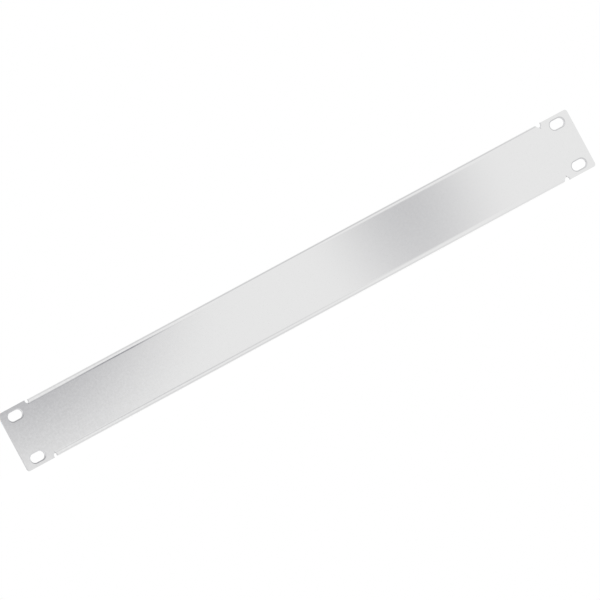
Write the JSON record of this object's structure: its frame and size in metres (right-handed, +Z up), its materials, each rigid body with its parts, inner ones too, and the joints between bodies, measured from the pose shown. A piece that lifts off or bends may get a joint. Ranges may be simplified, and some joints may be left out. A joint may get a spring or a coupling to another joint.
{
  "type": "rack blanking panel",
  "caption": "Flat 1U rack front panel in bare metal: slotted ears at both ends and a flange folded back along the top and the bottom edge.",
  "frame": {"origin": "middle of the plane in which the backs of the ears seat on the rack's rails, half way between the ears and half way up", "axes": "+X along the panel, to the right as seen from the front; +Y into the rack, so the front face looks to -Y; +Z up"},
  "size_m": [0.4826, 0.01, 0.044],
  "materials": {
    "sheet": "satin, fine even grain"
  },
  "bodies": {
    "root": {"blanking_panel": "sheet"}
  },
  "joints": []
}
